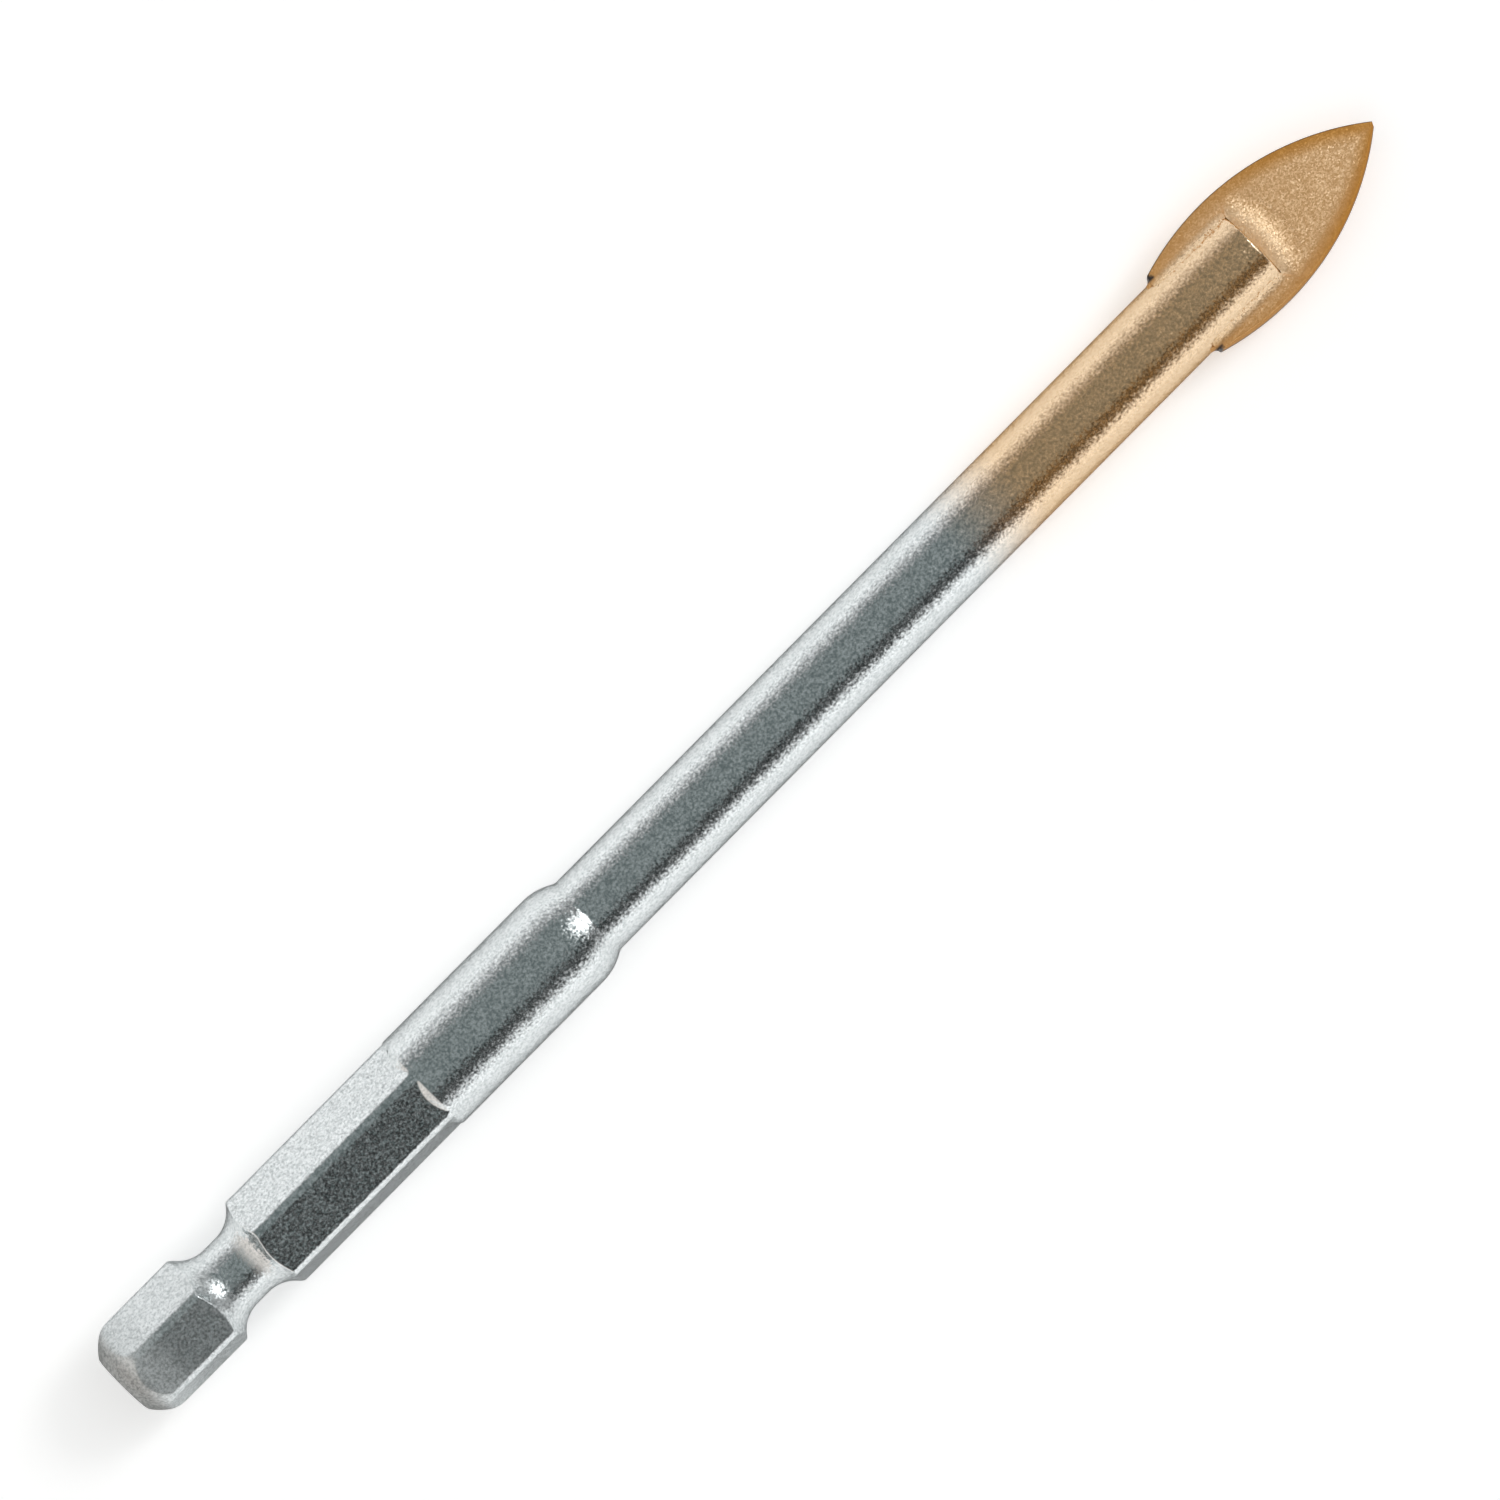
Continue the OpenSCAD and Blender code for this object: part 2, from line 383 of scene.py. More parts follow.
@dataclass(frozen=True)
class PlatedSteel:
    """Tool steel, bead blasted and plated silver grey, with a bronze coat over the front of the shaft.

    A pair in millimetres gives the places along the axis where a change begins and ends.
    """

    # The real surface is hardened tool steel that was blasted with beads and then plated with a bright
    # metal. The eye sees mirrored bands with grainy rims, because each small dent leans its own way, and
    # matte dents that glow a little where the mirrored light is dark. The end of the shank is rougher than the
    # rest, and its crown is painted darker and browner: painted shade for the shadowed floor that it mirrors.
    # The coat is sprayed on, so it begins in a soft band of specks and keeps the grain below.
    # The real grain is hardly wider than a pixel of this view, 0.06 mm, so it is drawn coarser, at 0.18 mm.
    name: str = "plated_blasted_steel"
    steel: str = "F8FCFD"
    steel_shade: str = "C8CECF"
    pit: str = "CCD2D3"
    pit_share: float = 0.18
    crown_shade: str = "A5A19E"
    crown_shade_share: float = 0.8
    crown_shade_mm: Point = (0.6, 1.6)
    rim: Colour = (0.21, 0.21, 0.21, 1.0)
    roughness: Point = (0.17, 0.22)
    rear_roughness: float = 0.13
    rear_mm: Point = (7.5, 11.5)
    end_roughness: float = 0.2
    end_mm: Point = (1.2, 4.7)
    grain_mm: float = 0.18
    speck_range: Point = (0.36, 0.64)
    scatter: float = 0.6
    cloud_mm: float = 1.6
    cloud_range: Point = (0.3, 0.7)
    fade_mm: Point = (71.5, 78.7)
    ragged_mm: float = 1.6
    lacquer_shares: Point = (0.08, 0.26)
    bronze: Bronze = Bronze()

    def material(self) -> bpy.types.Material:
        """Builds the finish as a node material on Object coordinates.

        Returns:
            The new material.
        """
        material, tree, place = new_finish(self.name)
        along = add_node(tree, "ShaderNodeSeparateXYZ", i0=place).outputs["X"]
        blast = add_node(tree, "ShaderNodeTexNoise", Vector=place, Scale=1 / (self.grain_mm * MM),
                         Detail=2.0, Roughness=0.6)
        grain = blast.outputs[0]
        cloud = add_node(tree, "ShaderNodeTexNoise", Vector=place, Scale=1 / (self.cloud_mm * MM),
                         Detail=3.0).outputs[0]
        speck = follow(tree, grain, self.speck_range)
        ragged = maths(tree, "MULTIPLY_ADD", grain, self.ragged_mm * MM, along)
        start, stop = (mm + self.ragged_mm / 2 for mm in self.fade_mm)
        fade = follow(tree, ragged, metres((start, stop)), soft=True)
        clouded = follow(tree, cloud, self.cloud_range, self.roughness)
        rear = follow(tree, along, metres(self.rear_mm), (self.rear_roughness, 0.0), soft=True)
        end = follow(tree, along, metres(self.end_mm), (self.end_roughness, 0.0), soft=True)
        rough = maths(tree, "ADD", clouded, maths(tree, "ADD", rear, end))
        bent = lean(tree, blast.outputs["Color"], self.scatter)
        plated = mix_colours(tree, speck, linear(self.steel_shade), linear(self.steel))
        # Painted shade: the crown is darkened and browned to stand for the shadowed floor that it mirrors.
        crown_shade_mask = follow(tree, along, metres(self.crown_shade_mm), (self.crown_shade_share, 0.0), soft=True)
        colour = mix_colours(tree, crown_shade_mask, plated, linear(self.crown_shade), "MULTIPLY")
        steel = add_node(tree, "ShaderNodeBsdfPrincipled", Base_Color=colour, Metallic=1.0,
                         Roughness=rough, Specular_Tint=self.rim, Normal=bent)
        matte = add_node(tree, "ShaderNodeBsdfDiffuse", Color=linear(self.pit), Normal=bent)
        pits = maths(tree, "MULTIPLY", speck, self.pit_share)
        pitted = mix_shaders(tree, pits, steel.outputs[0], matte.outputs[0])
        share = follow(tree, speck, results=self.lacquer_shares)
        coat = self.bronze.shader(tree, speck, 0.0, share, rough, bent)
        both = mix_shaders(tree, fade, pitted, coat)
        add_node(tree, "ShaderNodeOutputMaterial", Surface=both)
        return material


@dataclass(frozen=True)
class BronzeCoat:
    """Bronze coat sprayed over sintered carbide and braze: a dense crust of metal grains.

    A pair in millimetres gives the places where a change begins and ends: from the edge, above the plate's
    face, along the axis from the prongs' end, or out from the axis for the dark heel corners.
    """

    # The real surface is a bronze-coloured coat of metal flake in lacquer over rough carbide and filler
    # metal. The eye sees a soft orange ground with single sparks, because each grain faces its own way. The
    # colour is drawn deeper along the ground edges and towards the point. Where the filler climbs the prongs'
    # sides it is as smooth as the shaft. The very edge is painted dark, as painted shade for the rounded edge
    # that mirrors the shadowed floor, and the heel's outer corners, where the wings meet the shaft, are drawn
    # dark.
    # The real grains are hardly wider than a pixel of this view, 0.06 mm, so they are drawn coarser, at
    # 0.09 mm.
    name: str
    tip: "CarbideTip"
    roughness: float = 0.42
    lacquer_share: float = 0.4
    edge_share: float = 0.52
    depth: float = 0.1
    edge_mm: Point = (1.3, 0.15)
    forward_mm: float = 5.0
    forward_least: float = 0.55
    thin_share: float | None = None
    climb_mm: Point = (0.03, 0.3)
    prong_x: float | None = None
    prong_mm: Point = (-0.3, 0.2)
    side_share: float = 0.16
    side_roughness: float = 0.24
    grain_mm: float = 0.09
    cloud_mm: float = 0.6
    scatter: float = 0.3
    painted_edge_shade: str = "4A4640"
    painted_edge_shade_mm: float = 0.1
    heel_dark: str = "2E2824"
    heel_dark_mm: float = 0.4
    heel_dark_soft_mm: float = 0.25
    heel_dark_ragged_mm: float = 0.8
    heel_dark_out_mm: Point = (2.78, 2.98)
    bronze: Bronze = Bronze()

    def edge(self, tree: bpy.types.NodeTree, axes: Any, width: float, full: float) -> Any:
        """Adds a mask that is 1 at the plate's two curved edges and 0 further in.

        Args:
            tree: The tree that takes the nodes.
            axes: Node that gives the place's X, Y and Z.
            width: Distance from the edge at which the mask begins, in millimetres.
            full: Distance at which it is full.

        Returns:
            The mask's socket.
        """
        across = maths(tree, "ABSOLUTE", axes.outputs["Y"])
        flat = add_node(tree, "ShaderNodeCombineXYZ", i0=axes.outputs["X"], i1=across).outputs[0]
        centre = (self.tip.widest_x * MM, (self.tip.width / 2 - self.tip.edge_r) * MM, 0.0)
        away = add_node(tree, "ShaderNodeVectorMath", {"operation": "DISTANCE"},
                        i0=flat, i1=centre).outputs["Value"]
        return follow(tree, away, metres((self.tip.edge_r - width, self.tip.edge_r - full)), soft=True)

    def heel_dark_mask(self, tree: bpy.types.NodeTree, axes: Any, cloud: Any) -> Any:
        """Adds a mask that is 1 on the heel's outer corners, which are drawn dark.

        Args:
            tree: The tree that takes the nodes.
            axes: Node that gives the place's X, Y and Z.
            cloud: Socket with a soft noise.

        Returns:
            The mask's socket.
        """
        ragged = maths(tree, "MULTIPLY_ADD", cloud, self.heel_dark_ragged_mm * MM, axes.outputs["X"])
        edge = self.tip.heel_x + self.heel_dark_mm + self.heel_dark_ragged_mm / 2
        front = follow(tree, ragged, metres((edge - self.heel_dark_soft_mm, edge)), (1.0, 0.0), soft=True)
        across = maths(tree, "ABSOLUTE", axes.outputs["Y"])
        outer = follow(tree, across, metres(self.heel_dark_out_mm), soft=True)
        return maths(tree, "MULTIPLY", front, outer)

    def material(self) -> bpy.types.Material:
        """Builds the finish as a node material on Object coordinates.

        Returns:
            The new material.
        """
        material, tree, place = new_finish(self.name)
        axes = add_node(tree, "ShaderNodeSeparateXYZ", i0=place)
        grains = add_node(tree, "ShaderNodeTexVoronoi", Vector=place, Scale=1 / (self.grain_mm * MM))
        cloud = add_node(tree, "ShaderNodeTexNoise", Vector=place, Scale=1 / (self.cloud_mm * MM),
                         Detail=3.0).outputs[0]
        normal = lean(tree, grains.outputs["Color"], self.scatter)
        speck = add_node(tree, "ShaderNodeSeparateColor", i0=grains.outputs["Color"]).outputs[0]
        along, widest = axes.outputs["X"], self.tip.widest_x
        forward = follow(tree, along, metres((widest, widest + self.forward_mm)), (self.forward_least, 1.0))
        edge = maths(tree, "MULTIPLY", self.edge(tree, axes, *self.edge_mm), forward)
        deep = follow(tree, edge, results=(self.depth, 1.0))
        share = follow(tree, edge, results=(self.lacquer_share, self.edge_share))
        rough: Any = self.roughness
        if self.thin_share is not None and self.prong_x is not None:
            height = maths(tree, "ABSOLUTE", axes.outputs["Z"])
            foot, top = (self.tip.thickness / 2 + mm for mm in self.climb_mm)
            climb = follow(tree, height, metres((foot, top)))
            share = mix_values(tree, climb, share, self.thin_share)
            start, stop = (self.prong_x + mm for mm in self.prong_mm)
            behind = follow(tree, along, metres((start, stop)), (1.0, 0.0))
            beside = maths(tree, "MULTIPLY", behind, climb)
            share = mix_values(tree, beside, share, self.side_share)
            rough = mix_values(tree, beside, self.roughness, self.side_roughness)
        coat = self.bronze.shader(tree, speck, deep, share, rough, normal)
        # The heel's outer corners, where the wings meet the shaft, are drawn dark brown.
        scale = add_node(tree, "ShaderNodeBsdfPrincipled", Base_Color=linear(self.heel_dark), Roughness=0.6)
        heel_dark = mix_shaders(tree, self.heel_dark_mask(tree, axes, cloud), coat, scale.outputs[0])
        # Painted shade: the dark line at the very edge stands for the rounded edge mirroring the shadowed
        # floor; the mix named worn lays it over the coat.
        carbide = add_node(tree, "ShaderNodeBsdfPrincipled", Base_Color=linear(self.painted_edge_shade),
                           Metallic=0.8, Roughness=0.5)
        painted_edge_shade = self.edge(tree, axes, self.painted_edge_shade_mm, 0.0)
        worn = mix_shaders(tree, painted_edge_shade, heel_dark, carbide.outputs[0])
        add_node(tree, "ShaderNodeOutputMaterial", Surface=worn)
        return material


@dataclass
class SteelShank:
    """The steel bar: hex shank, ball groove, collar, shoulder and slotted shaft, turned from one piece.

    Sizes are in millimetres along and about the X axis, and angles in degrees. The outline's points are a fine
    step apart where it bends and a coarse one where it is straight.
    """

    hex_af: float = 6.35
    hex_len: float = 26.05
    hex_turn: float = 18.3
    hex_runout: float = 0.45
    end_d: float = 4.25
    crown_r: float = 3.8
    crown_len: float = 2.0
    end_round: float = 0.4
    groove_x: float = 9.3
    groove_flat: float = 1.0
    groove_d: float = 4.65
    groove_r: float = 2.3
    corner_d: float = 7.1
    collar_d: float = 7.0
    collar_len: float = 12.15
    shoulder_len: float = 2.15
    shaft_d: float = 5.7
    shaft_edge: float = 0.2
    slot_depth: float = 6.1
    slot_w: float = 2.4
    worn: float = 0.12
    corner_worn: float = 0.04
    around: int = 288
    fine: float = 0.06
    coarse: float = 2.0
    smooth_angle: float = 50.0
    length: float = field(default_factory=lambda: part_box("steel_shank")[1][0] / MM)

    @property
    def collar_front(self) -> float:
        """Place where the collar ends and the shoulder begins."""
        return self.hex_len + self.collar_len

    @property
    def shaft_start(self) -> float:
        """Place where the shoulder meets the shaft."""
        return self.collar_front + self.shoulder_len

    @property
    def slot_x(self) -> float:
        """Place of the slot's bottom."""
        return self.length - self.slot_depth

    @property
    def crown_x(self) -> float:
        """Place of the middle of the ball that the end's crown is part of."""
        return math.sqrt(self.crown_r ** 2 - (self.end_d / 2) ** 2)

    def turned_radius(self, x: float) -> float:
        """Radius of the bar as it leaves the lathe.

        Args:
            x: Distance from the shank's end.

        Returns:
            The radius there.
        """
        collar_r, shaft_r = self.collar_d / 2, self.shaft_d / 2
        into_edge = x - (self.length - self.shaft_edge)
        if into_edge > 0:
            return shaft_r - self.shaft_edge + math.sqrt(max(self.shaft_edge ** 2 - into_edge ** 2, 0.0))
        if x > self.collar_front:
            drop = collar_r - shaft_r
            arc_r = (self.shoulder_len ** 2 + drop ** 2) / (2 * drop)
            into_arc = min(x - self.collar_front, arc_r)
            arc = collar_r - arc_r + math.sqrt(arc_r ** 2 - into_arc ** 2)
            return blend_max(arc, shaft_r, self.worn)
        into_collar = min(max((self.hex_len - x) / self.hex_runout, 0.0), 1.0)
        radius = collar_r + (self.corner_d / 2 - collar_r) * into_collar
        if x < self.crown_x:
            radius = blend_min(radius, math.sqrt(self.crown_r ** 2 - (x - self.crown_x) ** 2), self.worn)
        nearest = min(max(x, self.groove_x), self.groove_x + self.groove_flat)
        away = abs(x - nearest)
        if away < self.groove_r:
            floor = self.groove_d / 2 + self.groove_r - math.sqrt(self.groove_r ** 2 - away ** 2)
            radius = blend_min(radius, floor, self.worn)
        return radius

    def milled_radius(self, x: float, angle: float) -> float:
        """Radius that the milling of the six flats leaves.

        Args:
            x: Distance from the shank's end.
            angle: Angle about the axis from the middle of a flat, in degrees.

        Returns:
            The largest radius there.
        """
        flat_r = self.hex_af / 2
        flat = flat_r / math.cos(math.radians((angle + 30) % 60 - 30))
        top_r, start = self.collar_d / 2, self.hex_len - self.hex_runout
        if x < start - self.hex_runout:
            return flat
        ball_back = ((top_r ** 2 - flat_r ** 2) + self.hex_runout ** 2) / (2 * self.hex_runout) + start
        ball_r = math.hypot(ball_back - start, flat_r)
        return blend_max(flat, math.sqrt(ball_r ** 2 - (x - ball_back) ** 2), self.worn / 2)

    def outline(self) -> list[Point]:
        """Works out the turned outline, with close points wherever it bends or meets a flat.

        Returns:
            Distance from the end and radius of each point, from the middle of the end face to the front's.
        """
        turn = math.degrees(math.acos(self.crown_x / self.crown_r))
        flat_end = self.end_d / 2 - self.end_round * math.tan(math.radians(turn / 2))
        points: list[Point] = [(0.0, 0.0), (0.0, flat_end / 2), (0.0, flat_end - self.fine)]
        for degrees in spread(0, turn, 5):
            t = math.radians(degrees)
            points.append((self.end_round * (1 - math.cos(t)), flat_end + self.end_round * math.sin(t)))
        groove_back = self.groove_x - self.groove_r
        groove_front = self.groove_x + self.groove_flat + self.groove_r
        edge_start = self.length - self.shaft_edge
        margin = 4 * self.fine
        runs = (
            (points[-1][0] + self.fine, self.crown_len, self.fine),
            (groove_back, self.groove_x + margin, self.fine),
            (self.groove_x + self.groove_flat - margin, groove_front, self.fine),
            (self.hex_len - self.hex_runout - margin, self.hex_len + margin, self.fine),
            (self.collar_front - margin, self.shaft_start - margin, 2 * self.fine),
            (self.shaft_start - margin + self.fine, self.shaft_start + margin, self.fine),
            (self.slot_x - margin, edge_start, self.coarse),
        )
        for start, stop, step in runs:
            points += [(x, self.turned_radius(x)) for x in spread(start, stop, step)]
        for degrees in spread(15, 90, 15):
            x = edge_start + self.shaft_edge * math.sin(math.radians(degrees))
            points.append((x, self.turned_radius(x)))
        return points + [(self.length, 0.0)]

    def build(self) -> bpy.types.Object:
        """Turns the bar, mills its flats and cuts its slot.

        Returns:
            The finished piece.
        """
        bar = draw_line([Vector((x, 0, r)) * MM for x, r in self.outline()])
        spin(bar, self.around, math.tau, Vector((0, 0, 0)), Vector((1, 0, 0)))
        close_up(bar)
        self.mill(bar)
        cut(bar, self.slot_cutter(), Cut.AWAY)
        smooth(bar, self.smooth_angle)
        return settle(bar, "plated_shank")

    def mill(self, bar: bpy.types.Object) -> None:
        """Presses the vertices that stand proud of the six flats onto them, and wears the corners round."""
        for vertex in bar.data.vertices:
            x, y, z = vertex.co / MM
            radius = math.hypot(y, z)
            if x > self.hex_len + self.fine or radius < self.hex_af / 2 - self.worn:
                continue
            angle = math.degrees(math.atan2(-y, z)) - self.hex_turn
            share = min(1.0, blend_min(radius, self.milled_radius(x, angle), self.corner_worn) / radius)
            vertex.co.y *= share
            vertex.co.z *= share
        bar.data.update()

    def slot_cutter(self) -> bpy.types.Object:
        """Makes the block that cuts the slot across the front end."""
        past = 1.0
        length = self.slot_depth + past
        bpy.ops.object.select_all(action="DESELECT")
        bpy.ops.mesh.primitive_cube_add(size=1, location=((self.slot_x + length / 2) * MM, 0, 0))
        block = bpy.context.active_object
        block.scale = (length * MM, 2 * self.collar_d * MM, self.slot_w * MM)
        bpy.ops.object.transform_apply(location=True, rotation=True, scale=True)
        return block


@dataclass
class CarbideTip:
    """The spear-shaped carbide plate. Each edge cuts at one face, and is relieved and bevelled at the other.

    Sizes are in millimetres and angles in degrees.
    """

    width: float = 8.1
    thickness: float = 2.2
    to_widest: float = 5.3
    to_point: float = 11.4
    relief_angle: float = 6.5
    bevel_angle: float = 25.0
    bevel_r: float = 40.0
    bevel_start: float = 2.1
    bevel_lead: float = 5.5
    edge_round: float = 0.05
    round_faces: int = 3
    sharp_angle: float = 15.0
    smooth_angle: float = 40.0
    around: int = 720
    heel_x: float = field(default_factory=lambda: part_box("carbide_tip")[0][0] / MM)

    @property
    def widest_x(self) -> float:
        """Place where the plate is widest."""
        return self.heel_x + self.to_widest

    @property
    def edge_r(self) -> float:
        """Radius of each cutting edge in plan."""
        return (self.to_point ** 2 + (self.width / 2) ** 2) / self.width

    @property
    def relieved_r(self) -> float:
        """Radius of the same edge at the relieved face."""
        return self.edge_r - self.thickness * math.tan(math.radians(self.relief_angle))

    def cone(self, x: float, y: float, lower_r: float, upper_r: float, face: Face) -> bpy.types.Object:
        """Makes an upright cone as thick as the plate.

        Args:
            x: Place of its axis along the bit.
            y: Place of its axis across the bit.
            lower_r: Radius at the lower face.
            upper_r: Radius at the upper face.
            face: UPPER as given, LOWER turned half round the bit's axis.

        Returns:
            The new object.
        """
        bpy.ops.object.select_all(action="DESELECT")
        bpy.ops.mesh.primitive_cone_add(vertices=self.around, radius1=lower_r * MM, radius2=upper_r * MM,
                                        depth=self.thickness * MM, location=(0, 0, 0))
        cone = bpy.context.active_object
        cone.location = (x * MM, y * face.value * MM, 0)
        cone.rotation_euler.x = 0.0 if face is Face.UPPER else math.pi
        bpy.ops.object.transform_apply(location=True, rotation=True, scale=True)
        return cone

    def edge(self, face: Face) -> bpy.types.Object:
        """Makes the space inside one cutting edge, which cuts at the face given."""
        return self.cone(self.widest_x, self.width / 2 - self.edge_r, self.relieved_r, self.edge_r, face)

    def bevel(self, face: Face) -> bpy.types.Object:
        """Makes the space inside the bevel on the relieved side of the edge that cuts at the face given."""
        lead = math.radians(self.bevel_lead)
        start_y = self.width / 2 - self.edge_r + math.sqrt(self.relieved_r ** 2 - self.bevel_start ** 2)
        x = self.widest_x - self.bevel_start - self.bevel_r * math.sin(lead)
        y = start_y - self.bevel_r * math.cos(lead)
        widest = self.bevel_r + self.thickness / math.tan(math.radians(self.bevel_angle))
        return self.cone(x, y, self.bevel_r, widest, face)

    def build(self) -> bpy.types.Object:
        """Grinds the plate from a disc, cuts off its heel and softens its edges.

        Returns:
            The finished piece.
        """
        plate = self.edge(Face.UPPER)
        cut(plate, self.edge(Face.LOWER), Cut.TO)
        for face in Face:
            cut(plate, self.bevel(face), Cut.TO)
        only(plate)
        bpy.ops.object.mode_set(mode="EDIT")
        bpy.ops.mesh.select_all(action="SELECT")
        bpy.ops.mesh.bisect(plane_co=(self.heel_x * MM, 0, 0), plane_no=(1, 0, 0),
                            use_fill=True, clear_inner=True)
        bpy.ops.object.mode_set(mode="OBJECT")
        close_up(plate, self.edge_round / 5)
        soften(plate, self.edge_round * MM, self.round_faces, self.sharp_angle)
        smooth(plate, self.smooth_angle)
        return settle(plate, "spear_plate")


@dataclass
class BrazeJoint:
    """The braze that holds the plate: films in the slot, a hollow skirt around each prong, and heel fillets.

    Sizes are in millimetres and angles in degrees. A power says how hollow the skirt is: 2 is a parabola that
    lies flat on the plate.
    """

    shank: SteelShank
    tip: CarbideTip
    side_rise: float = 0.655
    corner_rise: float = 0.4
    corner_len: float = 0.8
    corner_reach: float = 0.15
    corner_turn: float = 65.0
    side_power: float = 2.0
    toe_power: float = 2.5
    toe_len: float = 2.5
    toe_share: float = 0.66
    heel_r: float = 0.45
    heel_spread: float = 26.0
    heel_steps: int = 12
    sink: float = 0.05
    along: int = 220
    across: int = 16
    smooth_angle: float = 25.0

    @property
    def half_t(self) -> float:
        """Height of the plate's face above the bit's axis."""
        return self.tip.thickness / 2

    @property
    def prong_half_w(self) -> float:
        """Half the width of a prong at the plate's face."""
        return math.sqrt((self.shank.shaft_d / 2) ** 2 - self.half_t ** 2)

    def on_shaft(self, rise: float) -> float:
        """Half the width of a prong at a height above the plate's face."""
        return math.sqrt((self.shank.shaft_d / 2) ** 2 - (self.half_t + rise) ** 2)

    def side_reach(self, rise: float) -> float:
        """How far a hollow as high as rise runs out, if it leaves the shaft's side without a crease."""
        return 2 * rise * (self.half_t + rise) / self.on_shaft(rise)

    def skirt_point(self, along: float, out: float, face: Face) -> Vector:
        """Works out one point of the skirt around a prong.

        Args:
            along: Place along the prong's foot, from 0 at one heel round its end to 1 at the other heel.
            out: Place across the skirt, from 0 at the prong to 1 at its rim on the plate.
            face: The face of the plate that the prong is on.

        Returns:
            The point, in millimetres.
        """
        end, corner_y = self.shank.length, self.on_shaft(self.corner_rise)
        side_len = end - self.shank.slot_x
        foot = 2 * (side_len + corner_y)
        side = -1.0 if along < 0.5 else 1.0
        run = min(along, 1 - along) * foot
        at_corner = self.side_reach(self.corner_rise) + self.corner_reach
        if run < side_len:
            corner = max(0.0, 1 - (side_len - run) / self.corner_len) ** 2
            heel = max(0.0, 1 - run / self.corner_len) ** 2
            rise = self.side_rise + (self.corner_rise - self.side_rise) * max(corner, heel)
            reach = self.side_reach(rise) + self.corner_reach * corner
            turn, power = 90 - (90 - self.corner_turn) * corner, self.side_power
            x, y = self.shank.slot_x + run, self.on_shaft(rise)
        else:
            y = max(0.0, corner_y - (run - side_len))
            share = y / corner_y
            top = math.sqrt((self.shank.shaft_d / 2) ** 2 - y ** 2) - self.half_t
            rise = top * (self.toe_share + (1 - self.toe_share) * share ** 4)
            reach = at_corner + (self.toe_len - at_corner) * math.sqrt(1 - share ** 2)
            power = self.toe_power - (self.toe_power - self.side_power) * share ** 2
            x, turn = end, self.corner_turn * share ** 1.5
        ahead, aside = math.cos(math.radians(turn)), math.sin(math.radians(turn))
        inside = self.sink / 4 * (1 - out)
        height = self.half_t + (rise + inside) * (1 - out) ** power - inside
        if run < side_len:
            y -= inside
        else:
            x -= inside
        return Vector((x + ahead * reach * out, side * (y + aside * reach * out), face.value * height))

    def skirt(self, face: Face) -> bpy.types.Object:
        """Makes the skirt around one prong from a grid, and thickens it into the plate and the prong.

        Args:
            face: The face of the plate that the prong is on.

        Returns:
            The new object.
        """
        bpy.ops.object.select_all(action="DESELECT")
        bpy.ops.mesh.primitive_grid_add(x_subdivisions=self.along, y_subdivisions=self.across, size=1)
        sheet = bpy.context.active_object
        for vertex in sheet.data.vertices:
            vertex.co = self.skirt_point(vertex.co.x + 0.5, vertex.co.y + 0.5, face) * MM
        sheet.data.update()
        only(sheet)
        bpy.ops.object.mode_set(mode="EDIT")
        bpy.ops.mesh.select_all(action="SELECT")
        down = (0, 0, -face.value * self.sink * MM)
        bpy.ops.mesh.extrude_region_move(TRANSFORM_OT_translate={"value": down})
        bpy.ops.object.mode_set(mode="OBJECT")
        close_up(sheet)
        return sheet

    def heel(self, side: int) -> bpy.types.Object:
        """Makes the hollow fillet between the shaft and the back of a wing, no wider than the wing.

        Args:
            side: 1 or -1, for the wing on that side of the XZ plane.

        Returns:
            The new object.
        """
        heel_x, shaft_r = self.tip.heel_x, self.shank.shaft_d / 2
        line = [(heel_x + self.sink, shaft_r - self.sink), (heel_x - self.heel_r, shaft_r - self.sink)]
        for degrees in spread(-90, 0, 10):
            t = math.radians(degrees)
            line.append((heel_x - self.heel_r * (1 - math.cos(t)), shaft_r + self.heel_r * (1 + math.sin(t))))
        line += [(heel_x + self.sink, shaft_r + self.heel_r), line[0]]
        start = math.radians(-self.heel_spread)
        points = [Vector((x, side * r * math.cos(start), r * math.sin(start))) * MM for x, r in line]
        fillet = draw_line(points)
        spin(fillet, self.heel_steps, side * 2 * start, Vector((0, 0, 0)), Vector((1, 0, 0)))
        close_up(fillet)
        only(fillet)
        bpy.ops.object.mode_set(mode="EDIT")
        bpy.ops.mesh.select_all(action="SELECT")
        bpy.ops.mesh.fill_holes(sides=0)
        bpy.ops.object.mode_set(mode="OBJECT")
        close_up(fillet)
        for face in Face:
            cut(fillet, self.tip.edge(face), Cut.TO)
        close_up(fillet)
        return fillet

    def film(self, face: Face) -> bpy.types.Object:
        """Makes the thin film between the plate and one side of the slot."""
        thick = self.shank.slot_w / 2 - self.half_t
        length = self.shank.slot_depth
        bpy.ops.object.select_all(action="DESELECT")
        bpy.ops.mesh.primitive_cube_add(size=1)
        film = bpy.context.active_object
        film.scale = Vector((length, 2 * self.prong_half_w, thick)) * MM
        height = face.value * (self.half_t + thick / 2)
        film.location = Vector((self.shank.slot_x + length / 2, 0, height)) * MM
        bpy.ops.object.transform_apply(location=True, rotation=True, scale=True)
        return film

    def build(self) -> bpy.types.Object:
        """Lays the films, the skirts and the heel fillets, and joins them.

        Returns:
            The finished piece.
        """
        parts = [make(face) for face in Face for make in (self.film, self.skirt)]
        parts += [self.heel(side) for side in (1, -1)]
        only(parts[0])
        for part in parts:
            part.select_set(True)
        bpy.ops.object.join()
        joint = parts[0]
        smooth(joint, self.smooth_angle)
        return settle(joint, "braze_fillets")


